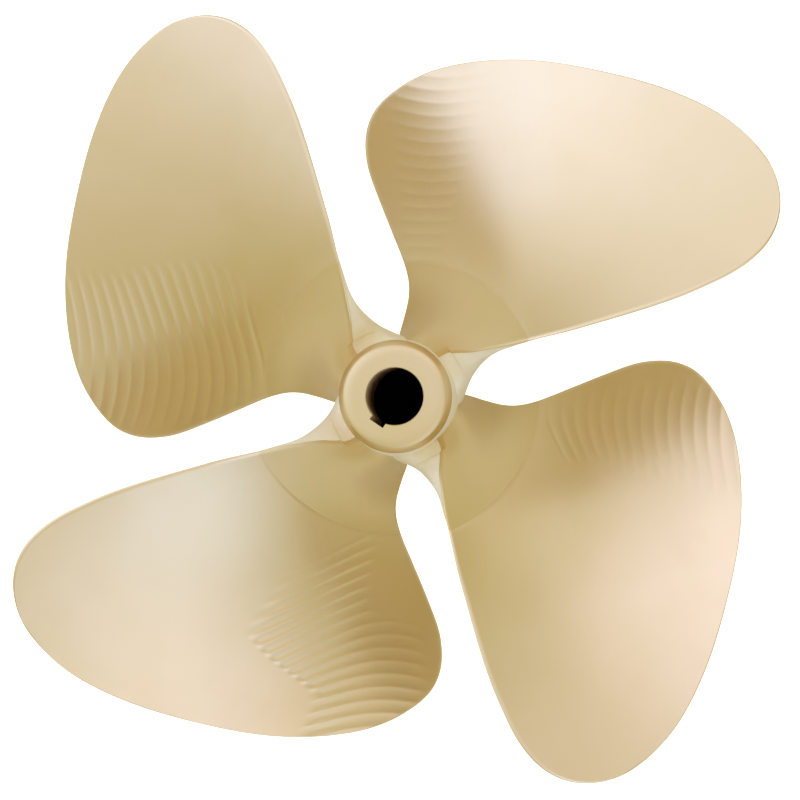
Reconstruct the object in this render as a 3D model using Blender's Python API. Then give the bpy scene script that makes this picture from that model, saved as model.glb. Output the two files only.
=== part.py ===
"""Four-bladed left-hand ship propeller, one bronze casting with a turned hub and a tapered, keyed bore.

The shaft's axis is +Z and points aft. The hub stands on its forward end, at z = 0. The blades' reference
lines are on the four diagonals of X and Y, and the keyway is in line with one of them.
"""
import math

import bmesh
import bpy
from mathutils import Vector

INCH = 0.0254
BLADES = 4
RADIUS = 17 * INCH
PITCH = 33 * INCH
RAKE = math.radians(2.9)
FIRST_BLADE = math.radians(45)

# Hub, standing on its forward end. Its barrel is widest at BARREL_HEIGHT and narrows towards aft.
HUB_LENGTH = 8.25 * INCH
FORWARD_FACE_RADIUS = 0.056
FORWARD_ROUND = 0.006
BARREL_RADIUS = 0.064
BARREL_HEIGHT = 0.06
AFT_BARREL_RADIUS = 0.0555
CONE_RADIUS = 0.0512
CONE_SLOPE = 0.437
AFT_ROUND = 0.0045
HUB_SIDES = 64

# The casting is longer than the hub. The lathe faces its aft end and turns a cone that runs out on the
# blade roots at TURNED_RADIUS.
CAST_SPARE = 0.03
TURNED_RADIUS = 0.0702

# Tapered bore for a 2 3/4 inch shaft, one in sixteen on the diameter, with its large end forward.
SHAFT_RADIUS = 1.375 * INCH
TAPER = 1 / 32
KEYWAY_WIDTH = 0.625 * INCH
KEYWAY_DEPTH = 0.0052
KEYWAY_ANGLE = math.radians(225)
CUT_SPARE = 0.01

# Where the blade's face crosses its reference line, above the hub's forward end.
FACE_HEIGHT = 0.1395

# The blade's outline: part of the radius, then the trailing and the leading edge, as angles in degrees
# from the reference line. Positive angles lead. The round tip closes at TIP_ANGLE.
OUTLINE = (
    (0.10, -10.0, 44.0),
    (0.15, -14.0, 39.5),
    (0.20, -24.6, 33.9),
    (0.25, -29.4, 31.2),
    (0.30, -32.3, 32.2),
    (0.40, -35.1, 37.8),
    (0.50, -36.2, 41.5),
    (0.60, -36.8, 43.1),
    (0.70, -36.8, 40.6),
    (0.75, -36.5, 36.0),
    (0.80, -36.1, 28.2),
    (0.85, -35.3, 15.6),
    (0.90, -33.9, 2.1),
    (0.95, -31.3, -7.9),
    (0.975, -29.0, -12.9),
)
TIP_ANGLE = -22.9

# Thickness at the blade's thickest line, falling evenly from the shaft's axis to the tip, and at its
# edges. The back is an arch between the edges, fuller near the root.
AXIS_THICKNESS = 0.0385
TIP_THICKNESS = 0.0032
EDGE_THICKNESS = 0.0032
ARCH_POWER = 2.2
ROOT_FULLNESS = 0.70
ROOT_FULLNESS_END = 0.5

# Root fillets start at this part of the radius and are this thick at the hub's skin.
FILLET_START = 0.324
BACK_FILLET = 0.085
FACE_FILLET = 0.028
FACE_FILLET_POWER = 1.3

# The blade's mesh: points across it, then its sections from inside the hub to the tip's round.
CHORD_STEPS = 12
ROOT_RADIUS = 0.046
ROOT_STEPS = 12
SPAN_STEPS = 11
TIP_STEPS = 21
TIP_START = 0.68

BRONZE = (0.72, 0.55, 0.30, 1.0)
SHARP_ANGLE = math.radians(35)


def clear_scene():
    for item in list(bpy.data.objects):
        bpy.data.objects.remove(item, do_unlink=True)


def bronze_material():
    material = bpy.data.materials.new("polished_bronze")
    material.use_nodes = True
    shader = material.node_tree.nodes["Principled BSDF"]
    shader.inputs["Base Color"].default_value = BRONZE
    shader.inputs["Metallic"].default_value = 1.0
    shader.inputs["Roughness"].default_value = 0.32
    return material


def smooth_curve(points, x):
    """A cubic through (place, value) points, with slopes taken from the neighbours of each."""
    last = len(points) - 1
    i = 0
    while i < last - 1 and x > points[i + 1][0]:
        i += 1

    def slope(k):
        low, high = points[max(k - 1, 0)], points[min(k + 1, last)]
        return (high[1] - low[1]) / (high[0] - low[0])

    (x0, y0), (x1, y1) = points[i], points[i + 1]
    span = x1 - x0
    t = (x - x0) / span
    rise = (1 + 2 * t) * (1 - t) ** 2 * y0 + t * t * (3 - 2 * t) * y1
    return rise + span * (t * (1 - t) ** 2 * slope(i) - t * t * (1 - t) * slope(i + 1))


def edge_angle(part, column):
    """Angle of an edge in radians. Its distance from the tip's line falls as the tip's round needs."""
    points = [(row[0], (row[column] - TIP_ANGLE) / math.sqrt(1 - row[0])) for row in OUTLINE]
    fullness = smooth_curve(points, part) if part < OUTLINE[-1][0] else points[-1][1]
    return math.radians(TIP_ANGLE + fullness * math.sqrt(max(1 - part, 0.0)))


def fillet_growth(radius):
    """A quarter round: zero where the root fillet starts, one at the hub's skin."""
    start = FILLET_START * RADIUS
    reach = min(max((start - radius) / (start - AFT_BARREL_RADIUS), 0.0), 1.0)
    return 1 - math.sqrt(1 - reach ** 2)


def back_profile(u, part):
    """Height of the blade's back over its face, from 0 at the edges to 1 at the thickest line."""
    fullness = 1 - ROOT_FULLNESS * max(0.0, 1 - part / ROOT_FULLNESS_END)
    return (1 - abs(2 * u - 1) ** ARCH_POWER) ** fullness


def blade_point(radius, u, side):
    """A point on the blade's face (side 0) or back (side 1), u from its trailing to its leading edge."""
    part = radius / RADIUS
    trailing, leading = edge_angle(part, 1), edge_angle(part, 2)
    angle = trailing + u * (leading - trailing)
    height = FACE_HEIGHT + math.tan(RAKE) * radius - PITCH * angle / (2 * math.pi)
    growth = fillet_growth(radius)
    if side:
        thickest = AXIS_THICKNESS + part * (TIP_THICKNESS - AXIS_THICKNESS) + BACK_FILLET * growth
        edge = min(EDGE_THICKNESS, thickest)
        offset = edge + (thickest - edge) * back_profile(u, part)
    else:
        offset = -FACE_FILLET * growth * math.sin(math.pi * u) ** FACE_FILLET_POWER
    if u in (0.0, 1.0):
        offset = EDGE_THICKNESS / 2
    pitch_angle = math.atan2(PITCH, 2 * math.pi * radius)
    angle -= offset * math.sin(pitch_angle) / radius
    height -= offset * math.cos(pitch_angle)
    return Vector((radius * math.cos(angle), radius * math.sin(angle), height))


def section_loop(radius):
    """The blade's section at a radius: along the face to the leading edge, and back along the back."""
    steps = [(1 - math.cos(math.pi * i / CHORD_STEPS)) / 2 for i in range(CHORD_STEPS)] + [1.0]
    face = [blade_point(radius, u, 0) for u in steps[:-1]]
    back = [blade_point(radius, u, 1) for u in reversed(steps[1:])]
    return face + back


def station_radii():
    """Radii of the sections: through the root fillet, along the blade, then closer towards the tip."""
    start, tip = FILLET_START * RADIUS, TIP_START * RADIUS
    root = [ROOT_RADIUS + (start - ROOT_RADIUS) * i / ROOT_STEPS for i in range(ROOT_STEPS)]
    span = [start + (tip - start) * i / SPAN_STEPS for i in range(SPAN_STEPS)]
    round_tip = [tip + (RADIUS - tip) * math.sin(math.pi / 2 * i / TIP_STEPS) for i in range(TIP_STEPS)]
    return root + span + round_tip


def new_mesh(name, shape):
    """Turns the faces outwards and keeps the shape as a mesh."""
    bmesh.ops.recalc_face_normals(shape, faces=shape.faces)
    mesh = bpy.data.meshes.new(name)
    shape.to_mesh(mesh)
    shape.free()
    return mesh


def new_object(name, mesh, turn=0.0):
    """An object in its place, turned about the shaft's axis."""
    item = bpy.data.objects.new(name, mesh)
    item.rotation_euler.z = turn
    bpy.context.scene.collection.objects.link(item)
    return item


def blade_mesh():
    """One blade about the reference line +X, from inside the hub to its tip."""
    shape = bmesh.new()
    loops = [[shape.verts.new(p) for p in section_loop(r)] for r in station_radii()]
    for inner, outer in zip(loops, loops[1:]):
        for i in range(len(inner)):
            j = (i + 1) % len(inner)
            shape.faces.new((inner[i], inner[j], outer[j], outer[i]))
    shape.faces.new(reversed(loops[0]))
    tip = shape.verts.new(blade_point(RADIUS, 0.0, 0))
    last = loops[-1]
    for i in range(len(last)):
        shape.faces.new((last[i], last[(i + 1) % len(last)], tip))
    return new_mesh("blade", shape)


def turned(name, profile):
    """A solid of revolution about Z from a closed profile of (radius, height) points."""
    shape = bmesh.new()
    ring = [shape.verts.new((r, 0, z)) for r, z in profile]
    edges = [shape.edges.new((ring[i], ring[(i + 1) % len(ring)])) for i in range(len(ring))]
    bmesh.ops.spin(shape, geom=ring + edges, cent=(0, 0, 0), axis=(0, 0, 1), angle=2 * math.pi,
                   steps=HUB_SIDES, use_merge=True)
    bmesh.ops.remove_doubles(shape, verts=shape.verts, dist=0.00001)
    return new_object(name, new_mesh(name, shape))


def rounded_corner(radius, height, size, start, end, steps=3):
    """Points of a round corner about (radius, height), from angle start to angle end in degrees."""
    angles = [math.radians(start + (end - start) * i / steps) for i in range(steps + 1)]
    return [(radius + size * math.cos(a), height + size * math.sin(a)) for a in angles]


def bore_radius(height):
    return SHAFT_RADIUS - TAPER * height


def hub():
    """The hub as cast: a plain barrel, a little longer than the finished one."""
    profile = [(0.0, 0.0)]
    profile += rounded_corner(FORWARD_FACE_RADIUS, FORWARD_ROUND, FORWARD_ROUND, -90, -10)
    cast_end = HUB_LENGTH + CAST_SPARE
    profile += [(BARREL_RADIUS, BARREL_HEIGHT), (AFT_BARREL_RADIUS, HUB_LENGTH)]
    return turned("propeller", profile + [(AFT_BARREL_RADIUS, cast_end), (0.0, cast_end)])


def lathe_cut():
    """What the lathe removes: the aft end down to its face, and the blade roots around its cone."""
    cone_angle = math.degrees(math.atan(CONE_SLOPE))
    run_out = HUB_LENGTH - (TURNED_RADIUS - CONE_RADIUS) / CONE_SLOPE
    top = HUB_LENGTH + 2 * CAST_SPARE
    corner = CONE_RADIUS - AFT_ROUND
    profile = [(0.0, HUB_LENGTH)]
    profile += rounded_corner(corner, HUB_LENGTH - AFT_ROUND, AFT_ROUND, 90, cone_angle)
    profile += [(TURNED_RADIUS, run_out), (TURNED_RADIUS, top), (0.0, top)]
    return turned("lathe_cut", profile)


def keyway():
    """The key's slot: a square-cornered bar that follows the bore's taper past both ends."""
    ends = []
    for height in (-CUT_SPARE, HUB_LENGTH + CUT_SPARE):
        wall = bore_radius(height)
        depth = math.sqrt(wall ** 2 - (KEYWAY_WIDTH / 2) ** 2) + KEYWAY_DEPTH
        ends.append((height, wall / 2, depth))
    shape = bmesh.new()
    rings = []
    for height, near, far in ends:
        corners = ((near, -1), (far, -1), (far, 1), (near, 1))
        rings.append([shape.verts.new((x, side * KEYWAY_WIDTH / 2, height)) for x, side in corners])
    low, high = rings
    shape.faces.new(low)
    shape.faces.new(reversed(high))
    for i in range(4):
        shape.faces.new((low[i], high[i], high[(i + 1) % 4], low[(i + 1) % 4]))
    return new_object("keyway_cut", new_mesh("keyway_cut", shape), KEYWAY_ANGLE)


def bore_cut():
    """The tapered bore, past both ends of the hub."""
    low, high = -CUT_SPARE, HUB_LENGTH + CUT_SPARE
    return turned("bore_cut", [(0.0, low), (bore_radius(low), low), (bore_radius(high), high), (0.0, high)])


def combine(body, other, operation):
    """Adds other to the casting, or cuts it away, and leaves it as a hidden guide."""
    other.hide_render = True
    other.display_type = "WIRE"
    step = body.modifiers.new(other.name, "BOOLEAN")
    step.operation = operation
    step.object = other
    step.solver = "EXACT"


def finish(body):
    body.data.materials.append(bronze_material())
    body.data.shade_smooth()
    body.data.set_sharp_from_angle(angle=SHARP_ANGLE)


def main():
    clear_scene()
    casting = hub()
    blade = blade_mesh()
    for i in range(BLADES):
        turn = FIRST_BLADE + i * 2 * math.pi / BLADES
        combine(casting, new_object(f"blade_{i + 1}", blade, turn), "UNION")
    combine(casting, lathe_cut(), "DIFFERENCE")
    combine(casting, bore_cut(), "DIFFERENCE")
    combine(casting, keyway(), "DIFFERENCE")
    finish(casting)


main()
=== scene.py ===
import math

import bpy
from mathutils import Matrix, Vector


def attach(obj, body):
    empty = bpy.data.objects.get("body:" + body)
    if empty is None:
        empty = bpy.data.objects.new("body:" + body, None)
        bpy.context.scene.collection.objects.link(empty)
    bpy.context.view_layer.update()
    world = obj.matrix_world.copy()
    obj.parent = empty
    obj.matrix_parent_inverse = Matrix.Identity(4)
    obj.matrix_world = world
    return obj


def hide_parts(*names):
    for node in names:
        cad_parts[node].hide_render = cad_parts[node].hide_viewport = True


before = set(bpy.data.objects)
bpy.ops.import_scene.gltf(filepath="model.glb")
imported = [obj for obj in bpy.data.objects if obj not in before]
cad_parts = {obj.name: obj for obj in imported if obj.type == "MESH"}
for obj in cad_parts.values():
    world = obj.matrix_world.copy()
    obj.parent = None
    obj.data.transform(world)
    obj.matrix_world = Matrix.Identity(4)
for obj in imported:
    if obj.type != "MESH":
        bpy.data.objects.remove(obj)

bl_info = {
    "name": "Bronze Ship Propeller",
    "version": (1, 0, 0),
    "blender": (4, 5, 0),
    "location": "3D View > Sidebar > Propeller",
    "description": "Models a cast bronze ship propeller with milled blades, and its studio stage",
    "category": "Add Mesh",
}

INCH = 0.0254
BODY = "root"
NODE = "propeller"
MERGE = 0.000002

# The blade's outline: part of the radius, then the trailing and the leading edge, as angles in degrees
# from the blade's reference line. Positive angles lead. The round tip closes at TIP_ANGLE.
OUTLINE = (
    (0.10, -10.0, 44.0),
    (0.15, -14.0, 39.5),
    (0.20, -24.6, 33.9),
    (0.25, -29.4, 31.2),
    (0.30, -32.3, 32.2),
    (0.40, -35.1, 37.8),
    (0.50, -36.2, 41.5),
    (0.60, -36.8, 43.1),
    (0.70, -36.8, 40.6),
    (0.75, -36.5, 36.0),
    (0.80, -36.1, 28.2),
    (0.85, -35.3, 15.6),
    (0.90, -33.9, 2.1),
    (0.95, -31.3, -7.9),
    (0.975, -29.0, -12.9),
)
TIP_ANGLE = -22.9

# The back is an arch between the edges, fuller near the root, up to this part of the radius.
ARCH_POWER = 2.2
ROOT_FULLNESS = 0.70
ROOT_FULLNESS_END = 0.5
FACE_FILLET_POWER = 1.3

# The face's bend back at the trailing edge grows over this length outside the crease, and has gone at this
# part of the radius, over the last part of it.
WASHBACK_GROWTH = 0.08
WASHBACK_END = 0.97
WASHBACK_FADE = 0.15

# Each edge is rounded in so many faces, over at most this part of the blade's width.
ROUND_STEPS = 6
LARGEST_NOSE = 0.25

# Mesh of a blade: the part of the width from which the columns lie closer, and how they crowd there and
# towards the leading edge; the part of the radius from which the rows follow the tip's round, and their count
MARKED_PART = 0.38
MARKED_CROWDING = 0.09
LEADING_CROWDING = 1.25
TIP_START = 0.86
TIP_ROWS = 44

# Mesh of the hub: columns across a root, steps and end of the crown's arc, and steps along walls and bore
ROOT_COLUMNS = 48
CROWN_STEPS = 12
CROWN_ARC = math.pi / 2 - 0.25
WALL_STEP = 0.004
BORE_STEP = 0.012

# The cutter's marks that hand polishing left on each blade's face. A mark comes closest to the shaft at the
# angle low, in degrees from the blade's reference line, and bows outwards by bow metres for each square
# radian: bow gives its inner and its outer value, and the radius at which the outer one is reached. The
# first mark is at the radius first, and they are spacing apart. They show from start to end, each an angle
# at an inner and at an outer radius. They are so many mark depths deep, which changes between two angles.
# They grow to that depth over some marks: begin gives a count of marks from the first, and over how many.
CUTTER_MARKS = (
    {"low": 27.5, "first": 0.1456, "spacing": 0.01370, "bow": (0.08, 0.50, 0.320),
     "start": (17.0, 16.0, 0.15, 0.34), "end": (36.0, 38.0, 0.15, 0.34), "depth": (0.4, 0.5, 20, 30),
     "begin": (-0.4, 0.3)},
    {"low": 28.5, "first": 0.1450, "spacing": 0.01403, "bow": (0.17, 0.42, 0.270),
     "start": (-4.0, 11.5, 0.20, 0.355), "end": (42.0, 42.0, 0.20, 0.30), "depth": (2.2, 1.5, 10, 24),
     "begin": (-0.4, 0.3)},
    {"low": 31.0, "first": 0.1505, "spacing": 0.01360, "bow": (0.29, 0.48, 0.240),
     "start": (0.5, 17.0, 0.280, 0.320), "end": (26.0, 40.0, 0.215, 0.245), "depth": (3.4, 0.9, 16, 28),
     "begin": (-2.4, 4.5)},
    {"low": 30.0, "first": 0.1526, "spacing": 0.01370, "bow": (0.36, 0.42, 0.250),
     "start": (11.0, 17.0, 0.16, 0.25), "end": (37.0, 39.0, 0.16, 0.25), "depth": (0.9, 0.8, 20, 30),
     "begin": (-0.4, 0.3)},
)

# A mark fades out over so many degrees at its ends, and over this length at the crease. The marks stop at
# this part of the radius.
MARKS_FADE = 3.5
MARKS_FROM_CREASE = 0.004
MARKS_OUTER_END = 0.99

# Width of the line along the crease, and how close to the helix a point counts as on the face
CREASE_WIDTH = 0.003
ON_FACE = 0.0002

# The finishes in the order of each piece's material slots
FINISHES = ("polished_bronze", "root_bronze", "turned_bronze", "ground_sheen_bronze", "cast_bronze", "bore_bronze")
BUMP_DISTANCE = 0.0004

# The studio's soft lamps, as the picture shows them in the metal: their turn from the picture's right and
# their angle off the line to the camera, in degrees, how narrow each is, and its light.
SOFT_LAMPS = (
    {"turn": 152, "off": 43, "narrow": 5, "light": (0.74, 0.95, 2.05)},
    {"turn": 291, "off": 56, "narrow": 14, "light": (0.52, 0.82, 2.05)},
    {"turn": 319, "off": 29, "narrow": 30, "light": (0.70, 0.76, 1.55)},
    {"turn": 63, "off": 36, "narrow": 30, "light": (0.85, 0.94, 2.00)},
    {"turn": 51, "off": 72, "narrow": 13, "light": (0.23, 0.26, 0.46)},
)


def length(name, description, default):
    return bpy.props.FloatProperty(name=name, description=description, default=default, min=0.0,
                                   precision=5, unit="LENGTH")


def angle(name, description, degrees):
    return bpy.props.FloatProperty(name=name, description=description, default=math.radians(degrees),
                                   subtype="ANGLE")


def count(name, description, default):
    return bpy.props.IntProperty(name=name, description=description, default=default, min=3)


def number(name, description, default):
    return bpy.props.FloatProperty(name=name, description=description, default=default, precision=4)


def colour(name, description, default):
    return bpy.props.FloatVectorProperty(name=name, description=description, default=default, size=3,
                                         min=0.0, max=1.0, subtype="COLOR")


class BladeSizes(bpy.types.PropertyGroup):
    """Driving sizes of the blades, which follow the solid's."""
    blades: count("Blades", "How many blades stand around the hub", 4)
    radius: length("Tip radius", "From the shaft's axis to a blade's tip", 17 * INCH - 0.0001)
    pitch: length("Pitch", "Advance of the blade's face in one turn", 33 * INCH)
    rake: angle("Rake", "How far the blades lean towards aft", 2.9)
    first: angle("First blade", "Where the first blade's reference line stands", 45)
    face_height: length("Face height", "Height of the face on its reference line at the axis", 0.1395)
    axis_thickness: length("Axis thickness", "Thickness the blade would have at the axis", 0.0385)
    tip_thickness: length("Tip thickness", "Thickness at the tip", 0.0032)
    edge_thickness: length("Edge thickness", "Thickness of the round edges", 0.0032)
    edge_length: length("Edge length", "How far the edges' rounding reaches across the blade", 0.0044)
    fillet_start: length("Fillet start", "Radius where the root fillets start", 0.324 * 17 * INCH)
    back_fillet: length("Back fillet", "Thickness of the back's root fillet at the hub", 0.085)
    face_fillet: length("Face fillet", "Thickness of the face's root fillet at the hub", 0.028)
    crease: length("Crease radius", "Where the milled face ends and the hand-ground root begins", 0.1425)
    crease_bend: number("Crease bend", "Slope at which the root fillet leaves the face", 0.09)
    crease_depth: length("Crease depth", "Depth of the line between face and root", 0.00045)
    washback: length("Washback", "How far the face bends back at the trailing edge", 0.0009)
    washback_width: number("Washback width", "Part of the blade's width that bends back", 0.15)
    mark_depth: length("Mark depth", "Height of the ridges between the cutter's paths", 0.00045)
    columns: count("Columns", "Mesh steps across the blade", 150)
    row_step: length("Row step", "Distance between the blade's sections", 0.00125)


class HubSizes(bpy.types.PropertyGroup):
    """Driving sizes of the hub, which follow the solid's."""
    height: length("Length", "From the forward to the aft face", 8.25 * INCH)
    forward_radius: length("Forward face radius", "Outer radius of the flat forward face", 0.056)
    forward_round: length("Forward round", "Radius of the forward edge", 0.006)
    barrel_radius: length("Barrel radius", "Widest radius of the barrel", 0.064)
    barrel_height: length("Barrel height", "Height of the widest place", 0.06)
    aft_radius: length("Aft barrel radius", "Radius of the cast barrel at its aft end", 0.0555)
    cone_radius: length("Cone radius", "Radius of the turned cone at the aft face", 0.0505)
    cone_slope: number("Cone slope", "Widening of the turned cone for each metre of length", 0.437)
    crown_start: length("Crown start", "Radius at which the flat aft face begins to fall off", 0.0415)
    crown_drop: length("Crown drop", "How far the aft face has fallen off at its edge", 0.0032)
    turned_edge: length("Turned edge", "Outer radius of the lathe's cut", 0.0575)
    turned_radius: length("Turned radius", "Where the turning runs out on the blade roots", 0.0702)
    turned_depth: length("Turned depth", "How much deeper the turned part of the roots lies", 0.0018)
    turned_step: length("Turned step", "Width of the step at which the turning ends", 0.0006)
    turned_part: number("Turned part", "Part of a root's width that is turned, from its trailing edge", 0.08)
    cast_spare: length("Cast spare", "Extra length of the casting before it is faced", 0.03)
    shaft_radius: length("Shaft radius", "Radius of the bore at the forward face", 1.375 * INCH)
    taper: number("Taper", "Narrowing of the bore's radius for each metre of length", 1 / 32)
    bore_chamfer: length("Bore chamfer", "Width of the bevel at the bore's mouth", 0.0006)
    key_width: length("Keyway width", "Width of the key's slot", 0.625 * INCH)
    key_depth: length("Keyway depth", "Depth of the slot from the bore's wall at its corners", 0.0052)
    key_angle: angle("Keyway angle", "Where the keyway points", 225)
    sides: count("Sides", "Mesh steps round the hub", 160)
    root_start: length("Root start", "Radius inside the hub where the blade roots begin", 0.046)
    root_rows: count("Root rows", "Sections of each blade root", 52)


class BronzeLook(bpy.types.PropertyGroup):
    """Colours and finish of the bronze."""
    gold: colour("Gold", "Polished bronze", (0.80, 0.60, 0.31))
    pale: colour("Pale", "Brighter, fresher bronze", (0.84, 0.65, 0.38))
    olive: colour("Olive", "Slightly tarnished bronze", (0.74, 0.56, 0.27))
    # The ground fillets' pale, nearly white colour is a painted sheen: it stands in for the lamps' reflection
    # on their matt ground finish.
    ground: colour("Ground", "Freshly ground bronze of the fillets beside the hub", (1.0, 0.91, 0.64))
    turned: colour("Turned", "Lathe-turned bronze of the aft end", (0.73, 0.545, 0.24))
    # The root colour is darker and more olive than the gold: partly the fillets' own hand-ground finish,
    # partly painted shade of the fillets.
    root: colour("Root", "Hand-ground bronze of the faces' root fillets", (0.74, 0.555, 0.245))
    cast: colour("Cast", "Dull bronze of the backs", (0.80, 0.70, 0.42))
    bore: colour("Bore", "Greased bronze of the bore and the keyway", (0.85, 0.62, 0.34))
    roughness: number("Roughness", "How matt the polished bronze is", 0.30)
    turned_roughness: number("Turned roughness", "How matt the turned end is", 0.38)
    root_roughness: number("Root roughness", "How matt the root fillets are", 0.36)
    ground_roughness: number("Ground roughness", "How matt the ground fillets are", 0.5)
    cast_roughness: number("Cast roughness", "How matt the backs are", 0.5)
    ground_metal: number("Ground metal", "How metallic the ground fillets look", 0.15)
    # Between these radii the ground fillets' painted sheen fades into the backs.
    ground_sheen_start: length("Ground start", "Radius where the ground fillets begin to run out", 0.128)
    ground_sheen_end: length("Ground end", "Radius where the ground fillets have run out", 0.235)


class StageSizes(bpy.types.PropertyGroup):
    """Floor, light and camera."""
    floor_width: length("Floor width", "Width of the pale floor", 26.0)
    floor_colour: colour("Floor colour", "Colour of the pale floor", (0.93, 0.89, 0.76))
    # The floor under the bore is black up to these radii: painted shade, where the hub keeps the light off.
    shade_start: length("Shade start", "Radius up to which the floor in the bore is dark", 0.040)
    shade_end: length("Shade end", "Radius from which the floor is lit", 0.044)
    floor_glow: number("Floor glow", "How far the floor is lit up to white behind the propeller", 1.0)
    room: colour("Room light", "Light of the room between the lamps", (0.56, 0.55, 0.30))
    camera_distance: length("Camera distance", "From the camera to the middle of the blades", 2.180)
    camera_height: length("Aim height", "Height of the point that the camera looks at", 0.1295)
    lens: number("Lens", "Focal length in millimetres", 95.96)
    sensor: number("Sensor", "Width of the camera's sensor in millimetres", 36.0)
    shift_right: number("Shift right", "Shift of the picture to the right, in widths", 0.0009)
    shift_up: number("Shift up", "Shift of the picture upwards, in widths", -0.0026)
    tilt: angle("Tilt", "Camera's turn about the picture's X axis", -1.1648)
    pan: angle("Pan", "Camera's turn about the picture's Y axis", -3.3619)
    roll: angle("Roll", "Turn of the propeller in the picture", 10.9)


# Modelling steps


def deselect_all():
    bpy.ops.object.select_all(action="DESELECT")


def edit_all(item):
    """Opens one object in edit mode with everything selected."""
    deselect_all()
    bpy.context.view_layer.objects.active = item
    item.select_set(True)
    bpy.ops.object.mode_set(mode="EDIT")
    bpy.ops.mesh.select_mode(type="VERT")
    bpy.ops.mesh.select_all(action="SELECT")


def place_points(item, points):
    """Moves an object's vertices, in their order, to the given points."""
    item.data.vertices.foreach_set("co", [value for point in points for value in point])
    item.data.update()


def sheet(name, rows):
    """A grid whose rows are laid on the given rows of points."""
    deselect_all()
    bpy.ops.mesh.primitive_grid_add(x_subdivisions=len(rows[0]) - 1, y_subdivisions=len(rows) - 1)
    item = bpy.context.object
    item.name = name
    item.data.name = name
    place_points(item, [point for row in rows for point in row])
    return item


def close_tube(item):
    """Joins a rolled-up sheet along its seam and where its end rows fold flat."""
    edit_all(item)
    bpy.ops.mesh.remove_doubles(threshold=MERGE)
    bpy.ops.mesh.normals_make_consistent(inside=False)
    bpy.ops.object.mode_set(mode="OBJECT")


def turned(name, profile, sides, chosen):
    """A solid of revolution about Z: a wire ring is laid on the profile and spun."""
    deselect_all()
    bpy.ops.mesh.primitive_circle_add(vertices=len(profile), radius=0.1)
    item = bpy.context.object
    item.name = name
    item.data.name = name
    place_points(item, [(radius, 0.0, height) for radius, height in profile])
    edit_all(item)
    bpy.ops.mesh.spin(steps=sides, angle=2 * math.pi, center=(0, 0, 0), axis=(0, 0, 1))
    bpy.ops.mesh.select_all(action="SELECT")
    bpy.ops.mesh.remove_doubles(threshold=MERGE)
    bpy.ops.mesh.normals_make_consistent(inside=False)
    bpy.ops.object.mode_set(mode="OBJECT")
    finish_faces(item, chosen)
    return item


def turn_in_place(item, turn):
    """Turns an object about the shaft's axis and keeps the turn in its mesh."""
    deselect_all()
    item.rotation_euler.z = turn
    item.select_set(True)
    bpy.context.view_layer.objects.active = item
    bpy.ops.object.transform_apply(location=True, rotation=True, scale=True)


def copy_of(item, name):
    """A copy with its own mesh."""
    twin = item.copy()
    twin.data = item.data.copy()
    twin.name = name
    twin.data.name = name
    bpy.context.scene.collection.objects.link(twin)
    return twin


def combine(body, tool, operation):
    """Joins a closed tool to the body, or cuts it away, and removes the tool."""
    deselect_all()
    step = body.modifiers.new(tool.name, "BOOLEAN")
    step.operation = operation
    step.object = tool
    step.solver = "EXACT"
    bpy.context.view_layer.objects.active = body
    body.select_set(True)
    bpy.ops.object.modifier_apply(modifier=step.name)
    bpy.data.objects.remove(tool, do_unlink=True)


def smooth(item, degrees):
    deselect_all()
    bpy.context.view_layer.objects.active = item
    item.select_set(True)
    bpy.ops.object.shade_smooth_by_angle(angle=math.radians(degrees))


def finish_faces(item, chosen):
    """Gives each face of an object the finish that chosen names for it, before its materials come."""
    for face in item.data.polygons:
        face.material_index = FINISHES.index(chosen(face))


def hand_in(item, materials):
    """Gives a finished piece its materials and its place in the part."""
    slots = [face.material_index for face in item.data.polygons]
    item.data.materials.clear()
    for material in materials:
        item.data.materials.append(material)
    item.data.polygons.foreach_set("material_index", slots)
    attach(item, BODY)
    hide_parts(NODE)


# Shape of the blades


def spread(start, end, steps):
    return [start + (end - start) * i / steps for i in range(steps + 1)]


def ease(x):
    """Rises smoothly from 0 to 1."""
    x = min(max(x, 0.0), 1.0)
    return x * x * (3 - 2 * x)


def smooth_curve(points, x):
    """A cubic through (place, value) points, with slopes taken from the neighbours of each."""
    last = len(points) - 1
    i = 0
    while i < last - 1 and x > points[i + 1][0]:
        i += 1

    def slope(k):
        low, high = points[max(k - 1, 0)], points[min(k + 1, last)]
        return (high[1] - low[1]) / (high[0] - low[0])

    (x0, y0), (x1, y1) = points[i], points[i + 1]
    span = x1 - x0
    t = (x - x0) / span
    rise = (1 + 2 * t) * (1 - t) ** 2 * y0 + t * t * (3 - 2 * t) * y1
    return rise + span * (t * (1 - t) ** 2 * slope(i) - t * t * (1 - t) * slope(i + 1))


def edge_angle(part, column):
    """Angle of an edge in radians. Its distance from the tip's line falls as the tip's round needs."""
    points = [(row[0], (row[column] - TIP_ANGLE) / math.sqrt(1 - row[0])) for row in OUTLINE]
    fullness = smooth_curve(points, part) if part < OUTLINE[-1][0] else points[-1][1]
    return math.radians(TIP_ANGLE + fullness * math.sqrt(max(1 - part, 0.0)))


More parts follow.
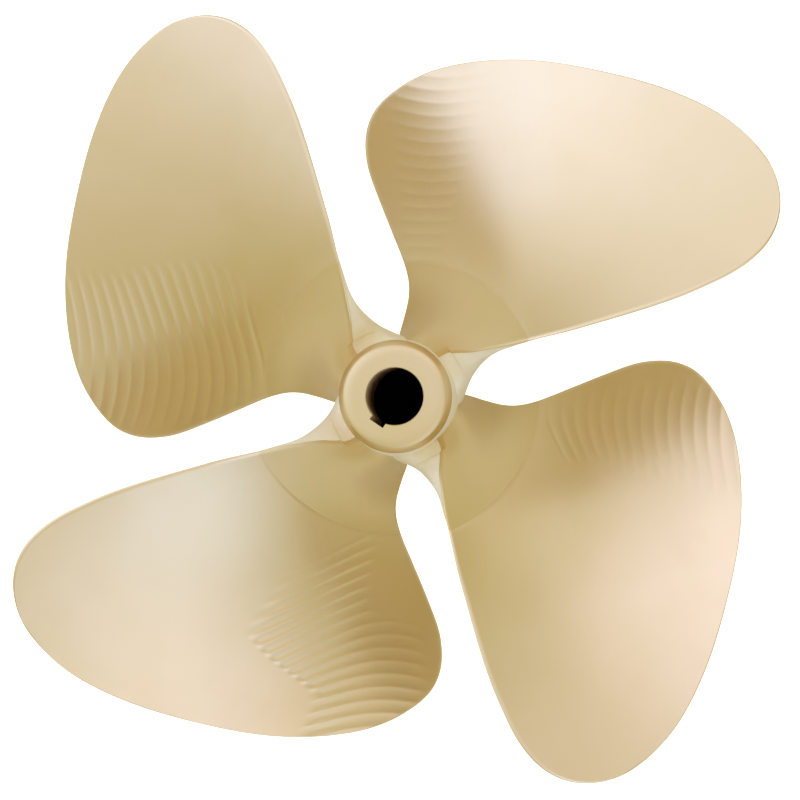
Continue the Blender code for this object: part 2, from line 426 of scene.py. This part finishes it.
class Section:
    """The blade's section at one radius, cut along a helix of the blade's pitch."""

    def __init__(self, sizes, hub, radius):
        self.sizes = sizes
        self.radius = radius
        self.part = radius / sizes.radius
        self.trailing = edge_angle(self.part, 1)
        self.leading = edge_angle(self.part, 2)
        self.slant = math.atan2(sizes.pitch, 2 * math.pi * radius)
        self.hub_radius = hub.aft_radius
        self.turned_part = hub.turned_part
        self.turned_off = hub.turned_depth / radius if radius < hub.turned_radius else 0.0
        grown = ease((radius - sizes.crease) / WASHBACK_GROWTH)
        self.washback = sizes.washback * grown * ease((WASHBACK_END - self.part) / WASHBACK_FADE)
        start = sizes.fillet_start
        reach = min(max((start - radius) / (start - hub.aft_radius), 0.0), 1.0)
        self.growth = 1 - math.sqrt(1 - reach ** 2)
        chord = radius * (self.leading - self.trailing) / math.cos(self.slant)
        self.nose = min(sizes.edge_length / max(chord, sizes.edge_length), LARGEST_NOSE)
        half = sizes.edge_thickness / 2
        to_tip = min(max((radius - (sizes.radius - half)) / half, 0.0), 1.0)
        self.round = math.sqrt(1 - to_tip ** 2)

    def place(self, u, offset):
        """A point u along the section from its trailing edge, and offset from the face towards the back."""
        sizes = self.sizes
        turn = self.trailing + u * (self.leading - self.trailing)
        turn += self.turned_off * ease(1 - u / self.turned_part)
        height = sizes.face_height + math.tan(sizes.rake) * self.radius - sizes.pitch * turn / (2 * math.pi)
        middle = sizes.edge_thickness / 2
        offset = middle + (offset - middle) * self.round
        offset += self.washback * max(1 - u / sizes.washback_width, 0.0) ** 2
        turn -= offset * math.sin(self.slant) / self.radius
        height -= offset * math.cos(self.slant)
        return (self.radius * math.cos(turn), self.radius * math.sin(turn), height)

    def face(self, u):
        """The face's root fillet starts with a bend at the crease and rises to its height at the hub."""
        sizes = self.sizes
        bend = sizes.crease_bend * max(sizes.crease - self.radius, 0.0)
        at_hub = sizes.crease_bend * (sizes.crease - self.hub_radius)
        rise = bend + (sizes.face_fillet - at_hub) * self.growth
        return -rise * math.sin(math.pi * u) ** FACE_FILLET_POWER

    def back(self, u):
        sizes = self.sizes
        taper = self.part * (sizes.tip_thickness - sizes.axis_thickness)
        thickest = sizes.axis_thickness + taper + sizes.back_fillet * self.growth
        edge = min(sizes.edge_thickness, thickest)
        fullness = 1 - ROOT_FULLNESS * max(0.0, 1 - self.part / ROOT_FULLNESS_END)
        arch = (1 - abs(2 * u - 1) ** ARCH_POWER) ** fullness
        return edge + (thickest - edge) * arch

    def loop(self, steps, flat=False):
        """Along the face, round the leading edge, back along the back and round the trailing edge. A flat
        loop is folded onto the middle of the blade, to cap an end."""
        half = self.sizes.edge_thickness / 2
        nose = self.nose
        places = [nose + (1 - 2 * nose) * u for u in steps]
        if flat:
            middle = [self.place(u, (self.face(u) + self.back(u)) / 2) for u in places]
            front, back = middle, middle[::-1]
            leading, trailing = [middle[-1]] * (ROUND_STEPS - 1), [middle[0]] * (ROUND_STEPS - 1)
        else:
            turns = spread(0.0, math.pi, ROUND_STEPS)[1:-1]
            front = [self.place(u, self.face(u)) for u in places]
            back = [self.place(u, self.back(u)) for u in reversed(places)]
            leading = [self.place(1 - nose + nose * math.sin(t), half * (1 - math.cos(t))) for t in turns]
            trailing = [self.place(nose - nose * math.sin(t), half * (1 + math.cos(t))) for t in turns]
        return front + leading + back + trailing + front[:1]


def finish_sides(item, steps, columns, face_finish, back_finish):
    """Gives a sheet of loops one finish on the face and another on the back, up to its round edges."""
    first = len(steps) - 2 + ROUND_STEPS
    back = range(first, first + len(steps) + 1)
    finish_faces(item, lambda face: back_finish if face.index % columns in back else face_finish)


def crowded_ends(steps):
    """Steps from 0 to 1 that crowd together towards both ends."""
    return [(1 - math.cos(math.pi * i / steps)) / 2 for i in range(steps + 1)]


def blade_columns(steps):
    """Steps across the blade: close at the edges, and closer where the cutter's marks are."""
    plain = steps // 4
    columns = [MARKED_PART * (1 - math.cos(math.pi / 2 * i / plain)) for i in range(plain)]
    for step in spread(0.0, 1.0, steps - plain):
        crowded = step - MARKED_CROWDING * math.sin(math.pi * step)
        columns.append(1 - (1 - MARKED_PART) * (1 - crowded) ** LEADING_CROWDING)
    return columns


def blade_rows(sizes):
    """Radii of the blade's sections, closer together where its tip rounds off."""
    start = TIP_START * sizes.radius
    rows = round((start - sizes.crease) / sizes.row_step)
    quarter = spread(0.0, math.pi / 2, TIP_ROWS)[1:]
    return spread(sizes.crease, start, rows) + [start + (sizes.radius - start) * math.sin(t) for t in quarter]


def shape_blade(sizes, hub):
    """One blade about the reference line +X, outside the crease."""
    steps = blade_columns(sizes.columns)
    rows = [Section(sizes, hub, sizes.crease).loop(steps, flat=True)]
    for radius in blade_rows(sizes):
        rows.append(Section(sizes, hub, radius).loop(steps))
    blade = sheet("blade", rows)
    finish_sides(blade, steps, len(rows[0]) - 1, "polished_bronze", "cast_bronze")
    return blade


def ridge(phase):
    """Section through the cutter's marks: shallow hollows that meet in ridges, 1 high, at whole phases."""
    waves = [math.cos(2 * math.pi * n * phase) / n ** 2 for n in (1, 2, 3)]
    return sum(waves) / 1.36


def change(values, place):
    """A value that changes smoothly from a first to a second one between two places."""
    first, second, begin, finish = values
    return first + (second - first) * ease((place - begin) / (finish - begin))


def low_radius(sizes, marks, radius, away):
    """The radius at which the mark through a point comes closest to the shaft, found step by step."""
    inner, outer, full = marks["bow"]
    low = radius
    for _ in range(12):
        part = min(max((low - sizes.crease) / (full - sizes.crease), 0.0), 1.0)
        low += (radius - (inner + (outer - inner) * part) * away ** 2 - low) / 2
    return low


def mark_height(sizes, marks, radius, turn):
    """How far the marked face stands out at a radius and an angle from the reference line."""
    degrees = math.degrees(turn)
    shown = ease((degrees - change(marks["start"], radius)) / MARKS_FADE)
    shown *= ease((change(marks["end"], radius) - degrees) / MARKS_FADE)
    if shown == 0.0:
        return 0.0
    low = low_radius(sizes, marks, radius, turn - math.radians(marks["low"]))
    phase = (low - marks["first"]) / marks["spacing"]
    begins, growth = marks["begin"]
    shown *= ease((phase - begins) / growth) * ease((radius - sizes.crease) / MARKS_FROM_CREASE)
    return sizes.mark_depth / 2 * change(marks["depth"], degrees) * shown * ridge(phase)


def carve_marks(blade, sizes, marks):
    """Moves the face's points by the cutter's marks, and sinks the line along the crease."""
    for vertex in blade.data.vertices:
        x, y, z = vertex.co
        radius = math.hypot(x, y)
        turn = math.atan2(y, x)
        face = sizes.face_height + math.tan(sizes.rake) * radius - sizes.pitch * turn / (2 * math.pi)
        if abs(z - face) > ON_FACE or radius > sizes.radius * MARKS_OUTER_END:
            continue
        height = mark_height(sizes, marks, radius, turn)
        height -= sizes.crease_depth * ease(1 - (radius - sizes.crease) / CREASE_WIDTH)
        slant = math.atan2(sizes.pitch, 2 * math.pi * radius)
        turn += height * math.sin(slant) / radius
        vertex.co = (radius * math.cos(turn), radius * math.sin(turn), z + height * math.cos(slant))


# Shape of the hub


def round_corner(radius, height, size, start, end, steps=8):
    """Points of a round corner about (radius, height), from angle start to angle end in degrees."""
    angles = [math.radians(turn) for turn in spread(start, end, steps)]
    return [(radius + size * math.cos(turn), height + size * math.sin(turn)) for turn in angles]


def along(start, end, step):
    """Points from start up to end, evenly spaced, without the last."""
    steps = max(round(math.dist(start, end) / step), 1)
    return [tuple(a + (b - a) * i / steps for a, b in zip(start, end)) for i in range(steps)]


def bore_radius(sizes, height):
    return sizes.shaft_radius - sizes.taper * height


def cast_barrel(sizes):
    """The hub as cast, bored through, and longer than the finished one."""
    top = sizes.height + sizes.cast_spare
    corner = round_corner(sizes.forward_radius, sizes.forward_round, sizes.forward_round, -90, -10)
    widest = (sizes.barrel_radius, sizes.barrel_height)
    aft = (sizes.aft_radius, sizes.height)
    chamfer = sizes.bore_chamfer
    mouth = bore_radius(sizes, 0.0)
    profile = along((mouth + chamfer, 0.0), corner[0], WALL_STEP) + corner[:-1]
    profile += along(corner[-1], widest, WALL_STEP) + along(widest, aft, WALL_STEP)
    profile += [aft, (sizes.aft_radius, top), (bore_radius(sizes, top), top)]
    profile += along((bore_radius(sizes, sizes.height), sizes.height), (mouth, chamfer), BORE_STEP)
    profile += [(mouth, chamfer)]

    def finish(face):
        in_bore = math.hypot(face.center.x, face.center.y) < bore_radius(sizes, face.center.z) + 0.0001
        if in_bore and abs(face.normal.z) < 0.5:
            return "bore_bronze"
        # The barrel's outside takes the ground finish, with its pale painted sheen.
        return "turned_bronze" if face.center.z < 0.0001 else "ground_sheen_bronze"

    return turned("hub", profile, sizes.sides, finish)


def blade_root(blade, sizes, turn):
    """The part of a blade inside the crease, with its fillets, capped at both ends."""
    steps = crowded_ends(ROOT_COLUMNS)
    step = sizes.turned_step / 2
    inner_rows = sizes.root_rows // 3
    radii = spread(sizes.root_start, sizes.turned_radius - step, inner_rows)
    radii += spread(sizes.turned_radius + step, blade.crease, sizes.root_rows - inner_rows)
    rows = [Section(blade, sizes, radius).loop(steps) for radius in radii]
    rows.insert(0, Section(blade, sizes, radii[0]).loop(steps, flat=True))
    rows.append(Section(blade, sizes, radii[-1]).loop(steps, flat=True))
    root = sheet("root", rows)
    # The roots' backs take the ground finish, with its pale painted sheen.
    finish_sides(root, steps, len(rows[0]) - 1, "root_bronze", "ground_sheen_bronze")
    close_tube(root)
    turn_in_place(root, turn)
    return root


def lathe_cut(sizes):
    """What the lathe removes: the aft end down to its face, and the blade roots around its cone."""
    run_out = sizes.height - (sizes.turned_edge - sizes.cone_radius) / sizes.cone_slope
    top = sizes.height + 2 * sizes.cast_spare
    mouth = bore_radius(sizes, sizes.height)
    chamfer = sizes.bore_chamfer
    profile = [(0.0, sizes.height - 2 * chamfer), (mouth - chamfer, sizes.height - 2 * chamfer)]
    profile += [(mouth + chamfer, sizes.height)]
    edge = sizes.cone_radius + sizes.crown_drop * sizes.cone_slope
    for turn in spread(0.0, CROWN_ARC, CROWN_STEPS):
        radius = sizes.crown_start + (edge - sizes.crown_start) * math.sin(turn)
        profile.append((radius, sizes.height - sizes.crown_drop * (1 - math.cos(turn))))
    profile += [(sizes.turned_edge, run_out), (sizes.turned_edge, top), (0.0, top)]
    return turned("lathe_cut", profile, sizes.sides, lambda face: "turned_bronze")


def keyway_cut(sizes):
    """The key's slot: a square bar that follows the bore's taper past both ends."""
    spare = sizes.cast_spare
    deselect_all()
    bpy.ops.mesh.primitive_cube_add(size=2)
    bar = bpy.context.object
    bar.name = "keyway_cut"
    points = []
    for vertex in bar.data.vertices:
        height = -spare if vertex.co.z < 0 else sizes.height + spare
        wall = bore_radius(sizes, height)
        far = math.sqrt(wall ** 2 - (sizes.key_width / 2) ** 2) + sizes.key_depth
        points.append((far if vertex.co.x > 0 else wall / 2, vertex.co.y * sizes.key_width / 2, height))
    place_points(bar, points)
    finish_faces(bar, lambda face: "bore_bronze")
    turn_in_place(bar, sizes.key_angle)
    return bar


# Finish


def node_group(name, inputs, outputs):
    """A new shader node group with named sockets, and its input and output nodes."""
    group = bpy.data.node_groups.new(name, "ShaderNodeTree")
    for label, kind, default in inputs:
        socket = group.interface.new_socket(name=label, in_out="INPUT", socket_type=kind)
        if default is not None:
            socket.default_value = default
    for label, kind in outputs:
        group.interface.new_socket(name=label, in_out="OUTPUT", socket_type=kind)
    return group, group.nodes.new("NodeGroupInput"), group.nodes.new("NodeGroupOutput")


def add(tree, kind, settings=(), **values):
    """A node with its settings made and its inputs given a value or a link."""
    node = tree.nodes.new(kind)
    for key, value in dict(settings).items():
        setattr(node, key, value)
    for key, value in values.items():
        socket = node.inputs[int(key[1:]) if key[0] == "i" and key[1:].isdigit() else key.replace("_", " ")]
        if isinstance(value, bpy.types.NodeSocket):
            tree.links.new(value, socket)
        else:
            socket.default_value = value
    return node


def math_node(tree, operation, first, second=0.0, clamp=False):
    settings = {"operation": operation, "use_clamp": clamp}
    return add(tree, "ShaderNodeMath", settings, i0=first, i1=second).outputs[0]


def mix_colour(tree, amount, first, second):
    """The Mix node's sockets 6 and 7 and its output 2 are the colours."""
    node = add(tree, "ShaderNodeMix", {"data_type": "RGBA"}, i0=amount, i6=first, i7=second)
    return node.outputs[2]


def ramp(tree, value, low, high):
    """0 below low, 1 above high, and smooth between."""
    settings = {"interpolation_type": "SMOOTHSTEP"}
    node = add(tree, "ShaderNodeMapRange", settings, Value=value, From_Min=low, From_Max=high)
    return node.outputs["Result"]


def noise(tree, vector, scale, detail, roughness=0.5):
    return add(tree, "ShaderNodeTexNoise", {}, Vector=vector, Scale=scale, Detail=detail,
               Roughness=roughness).outputs["Fac"]


def shaft_distance_group():
    """Distance from the shaft's axis, of a place in the part."""
    inputs = [("Place", "NodeSocketVector", None)]
    group, entry, exit_ = node_group("Distance from shaft", inputs, [("Radius", "NodeSocketFloat")])
    flat = add(group, "ShaderNodeVectorMath", {"operation": "MULTIPLY"}, i0=entry.outputs[0], i1=(1, 1, 0))
    size = add(group, "ShaderNodeVectorMath", {"operation": "LENGTH"}, i0=flat.outputs[0])
    group.links.new(size.outputs["Value"], exit_.inputs[0])
    return group


def mottle_group():
    """Broad patches of fresher and of slightly tarnished metal."""
    inputs = [("Place", "NodeSocketVector", None), ("Gold", "NodeSocketColor", None),
              ("Pale", "NodeSocketColor", None), ("Olive", "NodeSocketColor", None),
              ("Strength", "NodeSocketFloat", 1.0)]
    group, entry, exit_ = node_group("Bronze mottle", inputs, [("Color", "NodeSocketColor")])
    place = entry.outputs["Place"]
    broad = ramp(group, noise(group, place, 3.2, 3.0), 0.40, 0.66)
    fine = ramp(group, noise(group, place, 11.0, 5.0, 0.6), 0.45, 0.75)
    pale = mix_colour(group, math_node(group, "MULTIPLY", broad, entry.outputs["Strength"]),
                      entry.outputs["Gold"], entry.outputs["Pale"])
    stain = math_node(group, "MULTIPLY", fine, math_node(group, "MULTIPLY", entry.outputs["Strength"], 0.35))
    mixed = mix_colour(group, stain, pale, entry.outputs["Olive"])
    group.links.new(mixed, exit_.inputs[0])
    return group


def polish_group():
    """Fine grain of hand polishing: short scratches in two directions, and a slight orange peel."""
    inputs = [("Place", "NodeSocketVector", None), ("Scale", "NodeSocketFloat", 1.0)]
    group, entry, exit_ = node_group("Polishing grain", inputs, [("Height", "NodeSocketFloat")])
    place = entry.outputs["Place"]
    height = noise(group, place, 95.0, 2.0)
    for turn in (0.5, -0.9):
        turned_place = add(group, "ShaderNodeVectorRotate", {"rotation_type": "Z_AXIS"}, Vector=place,
                           Angle=turn)
        stretched = add(group, "ShaderNodeVectorMath", {"operation": "MULTIPLY"},
                        i0=turned_place.outputs[0], i1=(900.0, 60.0, 300.0))
        scaled = add(group, "ShaderNodeVectorMath", {"operation": "SCALE"}, i0=stretched.outputs[0],
                     Scale=entry.outputs["Scale"])
        scratches = noise(group, scaled.outputs[0], 1.0, 3.0)
        height = math_node(group, "ADD", math_node(group, "MULTIPLY", scratches, 0.2), height)
    group.links.new(height, exit_.inputs[0])
    return group


def turning_group():
    """Rings that a lathe tool leaves, as a height that changes with the radius."""
    inputs = [("Radius", "NodeSocketFloat", 0.0), ("Rings", "NodeSocketFloat", 700.0)]
    group, entry, exit_ = node_group("Turning rings", inputs, [("Height", "NodeSocketFloat")])
    place = math_node(group, "MULTIPLY", entry.outputs["Radius"], entry.outputs["Rings"])
    rings = add(group, "ShaderNodeTexNoise", {"noise_dimensions": "1D"}, W=place, Scale=1.0, Detail=3.0)
    group.links.new(rings.outputs["Fac"], exit_.inputs[0])
    return group


def group_node(tree, group, **values):
    return add(tree, "ShaderNodeGroup", {"node_tree": group}, **values)


def shared_group(name, maker):
    return bpy.data.node_groups.get(name) or maker()


def opaque(rgb):
    return (*rgb, 1.0)


def new_material(name):
    material = bpy.data.materials.new(name)
    material.use_nodes = True
    tree = material.node_tree
    return material, tree, tree.nodes["Principled BSDF"]


def buffed(name, colours, roughness, grain_scale):
    """Bronze polished by hand: broad patches of tone, and a fine grain of short scratches."""
    material, tree, shader = new_material(name)
    place = add(tree, "ShaderNodeTexCoord").outputs["Object"]
    mottle = shared_group("Bronze mottle", mottle_group)
    polish = shared_group("Polishing grain", polish_group)
    skin = group_node(tree, mottle, Place=place, Strength=0.8, **colours)
    tree.links.new(skin.outputs[0], shader.inputs["Base Color"])
    shader.inputs["Metallic"].default_value = 1.0
    blotch = ramp(tree, noise(tree, place, 7.0, 4.0), 0.3, 0.7)
    rough = math_node(tree, "ADD", math_node(tree, "MULTIPLY", blotch, 0.05), roughness - 0.015)
    tree.links.new(rough, shader.inputs["Roughness"])
    grain = group_node(tree, polish, Place=place, Scale=grain_scale)
    bump = add(tree, "ShaderNodeBump", {}, Strength=0.06, Distance=BUMP_DISTANCE, Height=grain.outputs[0])
    tree.links.new(bump.outputs[0], shader.inputs["Normal"])
    return material


def polished_bronze(look):
    """The blades' faces, milled and polished."""
    colours = {"Gold": opaque(look.gold), "Pale": opaque(look.pale), "Olive": opaque(look.olive)}
    return buffed("polished_bronze", colours, look.roughness, 1.0)


def root_bronze(look):
    """The fillets between the blades' faces and the hub, ground by hand and a little duller."""
    # The darker, more olive colour is partly the fillets' own finish and partly painted shade.
    colours = {"Gold": opaque(look.root), "Pale": opaque(look.gold), "Olive": opaque(look.olive)}
    return buffed("root_bronze", colours, look.root_roughness, 0.7)


def turned_bronze(look):
    """Lathe-turned bronze of the hub's aft end, with fine rings."""
    material, tree, shader = new_material("turned_bronze")
    place = add(tree, "ShaderNodeTexCoord").outputs["Object"]
    mottle = shared_group("Bronze mottle", mottle_group)
    rings = shared_group("Turning rings", turning_group)
    reach = shared_group("Distance from shaft", shaft_distance_group)
    radius = group_node(tree, reach, Place=place).outputs[0]
    colours = {"Gold": opaque(look.turned), "Pale": opaque(look.pale), "Olive": opaque(look.olive)}
    skin = group_node(tree, mottle, Place=place, Strength=1.0, **colours).outputs[0]
    tree.links.new(skin, shader.inputs["Base Color"])
    shader.inputs["Metallic"].default_value = 1.0
    turning = group_node(tree, rings, Radius=radius, Rings=650.0).outputs[0]
    rough = math_node(tree, "ADD", math_node(tree, "MULTIPLY", turning, 0.1), look.turned_roughness)
    tree.links.new(rough, shader.inputs["Roughness"])
    bump = add(tree, "ShaderNodeBump", {}, Strength=0.06, Distance=BUMP_DISTANCE, Height=turning)
    tree.links.new(bump.outputs[0], shader.inputs["Normal"])
    return material


def ground_sheen_skin(look, tree, place):
    """Colour and roughness of the ground fillets: a pale painted sheen of the lamps on a matt ground finish.
    """
    dusty = ramp(tree, noise(tree, place, 24.0, 4.0), 0.35, 0.75)
    skin = mix_colour(tree, math_node(tree, "MULTIPLY", dusty, 0.5), opaque(look.ground), opaque(look.pale))
    return skin, math_node(tree, "ADD", math_node(tree, "MULTIPLY", dusty, 0.1), look.ground_roughness - 0.05)


def ground_sheen_bronze(look):
    """Bronze of the ground fillets that show beside the hub: matt, with a pale painted sheen of the lamps."""
    material, tree, shader = new_material("ground_sheen_bronze")
    place = add(tree, "ShaderNodeTexCoord").outputs["Object"]
    polish = shared_group("Polishing grain", polish_group)
    skin, rough = ground_sheen_skin(look, tree, place)
    tree.links.new(skin, shader.inputs["Base Color"])
    shader.inputs["Metallic"].default_value = look.ground_metal
    tree.links.new(rough, shader.inputs["Roughness"])
    grain = group_node(tree, polish, Place=place, Scale=0.8)
    bump = add(tree, "ShaderNodeBump", {}, Strength=0.1, Distance=BUMP_DISTANCE, Height=grain.outputs[0])
    tree.links.new(bump.outputs[0], shader.inputs["Normal"])
    return material


def cast_bronze(look):
    """Dull bronze of the backs, never polished. The ground fillets' pale painted sheen runs out into it."""
    material, tree, shader = new_material("cast_bronze")
    place = add(tree, "ShaderNodeTexCoord").outputs["Object"]
    polish = shared_group("Polishing grain", polish_group)
    patches = ramp(tree, noise(tree, place, 9.0, 5.0, 0.6), 0.35, 0.7)
    darker = tuple(value * 0.85 for value in look.cast)
    skin = mix_colour(tree, patches, opaque(look.cast), opaque(darker))
    rough = math_node(tree, "ADD", math_node(tree, "MULTIPLY", patches, 0.08), look.cast_roughness)
    reach = shared_group("Distance from shaft", shaft_distance_group)
    radius = group_node(tree, reach, Place=place).outputs[0]
    uneven = math_node(tree, "MULTIPLY", noise(tree, place, 18.0, 3.0), 0.03)
    # Near the hub the backs take the ground fillets' pale painted sheen, which fades out between the two
    # radii.
    away = ramp(tree, math_node(tree, "SUBTRACT", radius, uneven), look.ground_sheen_start, look.ground_sheen_end)
    fillet_sheen_skin, fillet_rough = ground_sheen_skin(look, tree, place)
    tree.links.new(mix_colour(tree, away, fillet_sheen_skin, skin), shader.inputs["Base Color"])
    rougher = math_node(tree, "MULTIPLY", away, math_node(tree, "SUBTRACT", rough, fillet_rough))
    tree.links.new(math_node(tree, "ADD", fillet_rough, rougher), shader.inputs["Roughness"])
    metal = math_node(tree, "MULTIPLY", away, 1.0 - look.ground_metal)
    tree.links.new(math_node(tree, "ADD", metal, look.ground_metal), shader.inputs["Metallic"])
    pits = noise(tree, place, 420.0, 3.0)
    grain = group_node(tree, polish, Place=place, Scale=0.6).outputs[0]
    height = math_node(tree, "ADD", grain, math_node(tree, "MULTIPLY", pits, 0.5))
    bump = add(tree, "ShaderNodeBump", {}, Strength=0.12, Distance=0.0005, Height=height)
    tree.links.new(bump.outputs[0], shader.inputs["Normal"])
    return material


def bore_bronze(look):
    """Dull, greased bronze inside the bore and the keyway."""
    material, tree, shader = new_material("bore_bronze")
    place = add(tree, "ShaderNodeTexCoord").outputs["Object"]
    streaks = ramp(tree, noise(tree, place, 60.0, 4.0), 0.35, 0.7)
    dark = tuple(value * 0.6 for value in look.bore)
    tree.links.new(mix_colour(tree, streaks, opaque(dark), opaque(look.bore)), shader.inputs["Base Color"])
    rough = math_node(tree, "ADD", math_node(tree, "MULTIPLY", streaks, 0.1), 0.5)
    tree.links.new(rough, shader.inputs["Roughness"])
    return material


def bronze(look, name):
    makers = {"polished_bronze": polished_bronze, "root_bronze": root_bronze, "turned_bronze": turned_bronze,
              "ground_sheen_bronze": ground_sheen_bronze, "cast_bronze": cast_bronze, "bore_bronze": bore_bronze}
    return bpy.data.materials.get(name) or makers[name](look)


# Stage


def white_floor(stage):
    deselect_all()
    bpy.ops.mesh.primitive_plane_add(size=stage.floor_width)
    floor = bpy.context.object
    floor.name = "floor"
    material, tree, shader = new_material("white_floor")
    shader.inputs["Roughness"].default_value = 0.9
    shader.inputs["Specular IOR Level"].default_value = 0.1
    place = add(tree, "ShaderNodeTexCoord").outputs["Object"]
    radius = group_node(tree, shared_group("Distance from shaft", shaft_distance_group), Place=place)
    # Inside the shade radius the floor is black in colour and glow: painted shade under the bore.
    outside = ramp(tree, radius.outputs[0], stage.shade_start, stage.shade_end)
    black, white = opaque((0.0, 0.0, 0.0)), opaque((1.0, 1.0, 1.0))
    tree.links.new(mix_colour(tree, outside, black, opaque(stage.floor_colour)), shader.inputs["Base Color"])
    tree.links.new(mix_colour(tree, outside, black, white), shader.inputs["Emission Color"])
    seen = add(tree, "ShaderNodeLightPath").outputs["Is Camera Ray"]
    tree.links.new(math_node(tree, "MULTIPLY", seen, stage.floor_glow), shader.inputs["Emission Strength"])
    floor.data.materials.append(material)


def soft_lamp(tree, direction, lamp):
    """The light of one large soft lamp in the sky, brightest towards its own direction."""
    turn, off = math.radians(lamp["turn"]), math.radians(lamp["off"])
    towards = Vector((math.sin(off) * math.cos(turn), math.sin(off) * math.sin(turn), math.cos(off)))
    settings = {"operation": "DOT_PRODUCT"}
    facing = add(tree, "ShaderNodeVectorMath", settings, i0=direction, i1=towards).outputs["Value"]
    near = math_node(tree, "MULTIPLY", math_node(tree, "SUBTRACT", facing, 1.0), lamp["narrow"])
    glow = math_node(tree, "EXPONENT", near)
    return add(tree, "ShaderNodeVectorMath", {"operation": "SCALE"}, i0=lamp["light"], Scale=glow).outputs[0]


def studio_light(stage, to_camera):
    """A dim warm room with soft lamps round the camera. Their directions are given in the picture."""
    world = bpy.data.worlds.new("studio")
    world.use_nodes = True
    tree = world.node_tree
    place = add(tree, "ShaderNodeTexCoord").outputs["Generated"]
    turn = to_camera.to_euler()
    direction = add(tree, "ShaderNodeVectorRotate", {"rotation_type": "EULER_XYZ"}, Vector=place,
                    Rotation=turn).outputs[0]
    light = stage.room
    for lamp in SOFT_LAMPS:
        settings = {"operation": "ADD"}
        glow = soft_lamp(tree, direction, lamp)
        light = add(tree, "ShaderNodeVectorMath", settings, i0=light, i1=glow).outputs[0]
    tree.links.new(light, tree.nodes["Background"].inputs["Color"])
    bpy.context.scene.world = world


def studio_camera(stage, aim):
    """The camera looks down the shaft's axis from aft, a little off to one side."""
    deselect_all()
    bpy.ops.object.camera_add()
    camera = bpy.context.object
    camera.name = "camera"
    camera.data.lens = stage.lens
    camera.data.sensor_width = stage.sensor
    camera.data.shift_x = stage.shift_right
    camera.data.shift_y = stage.shift_up
    camera.data.clip_end = 2 * stage.floor_width
    to_camera = Matrix.Rotation(stage.tilt, 4, "X") @ Matrix.Rotation(stage.pan, 4, "Y")
    to_camera = to_camera @ Matrix.Rotation(stage.roll, 4, "Z") @ Matrix.Translation(-aim)
    camera.matrix_world = to_camera.inverted() @ Matrix.Translation((0, 0, stage.camera_distance))
    bpy.context.scene.camera = camera
    return to_camera


# Operators


class PROPELLER_OT_cast_hub(bpy.types.Operator):
    """Make the hub with the four blade roots, its turned aft end, tapered bore and keyway"""
    bl_idname = "propeller.cast_hub"
    bl_label = "Hub and Roots"
    bl_options = {"REGISTER", "UNDO"}

    def execute(self, context):
        scene = context.scene
        sizes, blade, look = scene.propeller_hub, scene.propeller_blade, scene.propeller_look
        hub = cast_barrel(sizes)
        for i in range(blade.blades):
            combine(hub, blade_root(blade, sizes, blade.first + i * 2 * math.pi / blade.blades), "UNION")
        combine(hub, lathe_cut(sizes), "DIFFERENCE")
        combine(hub, keyway_cut(sizes), "DIFFERENCE")
        smooth(hub, 30)
        hand_in(hub, [bronze(look, name) for name in FINISHES])
        return {"FINISHED"}


class PROPELLER_OT_mill_blades(bpy.types.Operator):
    """Make the four blades, each with the cutter's marks that polishing left on its face"""
    bl_idname = "propeller.mill_blades"
    bl_label = "Blades"
    bl_options = {"REGISTER", "UNDO"}

    def execute(self, context):
        scene = context.scene
        sizes, hub = scene.propeller_blade, scene.propeller_hub
        finishes = [bronze(scene.propeller_look, name) for name in FINISHES]
        pattern = shape_blade(sizes, hub)
        for i in range(sizes.blades):
            blade = copy_of(pattern, f"blade_{i + 1}")
            carve_marks(blade, sizes, CUTTER_MARKS[i % len(CUTTER_MARKS)])
            close_tube(blade)
            turn_in_place(blade, sizes.first + i * 2 * math.pi / sizes.blades)
            smooth(blade, 40)
            hand_in(blade, finishes)
        bpy.data.objects.remove(pattern, do_unlink=True)
        return {"FINISHED"}


class PROPELLER_OT_set_stage(bpy.types.Operator):
    """Set up the white floor, the soft lamps and the camera"""
    bl_idname = "propeller.set_stage"
    bl_label = "Stage"
    bl_options = {"REGISTER", "UNDO"}

    def execute(self, context):
        stage = context.scene.propeller_stage
        aim = Vector((0, 0, stage.camera_height))
        white_floor(stage)
        to_camera = studio_camera(stage, aim)
        studio_light(stage, to_camera)
        context.scene.view_settings.view_transform = "Standard"
        return {"FINISHED"}


class PROPELLER_PT_maker(bpy.types.Panel):
    bl_label = "Ship Propeller"
    bl_space_type = "VIEW_3D"
    bl_region_type = "UI"
    bl_category = "Propeller"

    def draw(self, context):
        for operator in OPERATORS:
            self.layout.operator(operator.bl_idname)


GROUPS = {
    "propeller_blade": BladeSizes,
    "propeller_hub": HubSizes,
    "propeller_look": BronzeLook,
    "propeller_stage": StageSizes,
}
OPERATORS = (PROPELLER_OT_cast_hub, PROPELLER_OT_mill_blades, PROPELLER_OT_set_stage)


def register():
    for name, group in GROUPS.items():
        bpy.utils.register_class(group)
        setattr(bpy.types.Scene, name, bpy.props.PointerProperty(type=group))
    for item in (*OPERATORS, PROPELLER_PT_maker):
        bpy.utils.register_class(item)


def unregister():
    for item in (PROPELLER_PT_maker, *reversed(OPERATORS)):
        bpy.utils.unregister_class(item)
    for name, group in GROUPS.items():
        delattr(bpy.types.Scene, name)
        bpy.utils.unregister_class(group)


def plain(corners):
    return [[float(value) for value in corner] for corner in corners]


def main():
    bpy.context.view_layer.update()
    register()
    bpy.ops.propeller.cast_hub()
    bpy.ops.propeller.mill_blades()
    bpy.ops.propeller.set_stage()


if __name__ == "__main__":
    main()
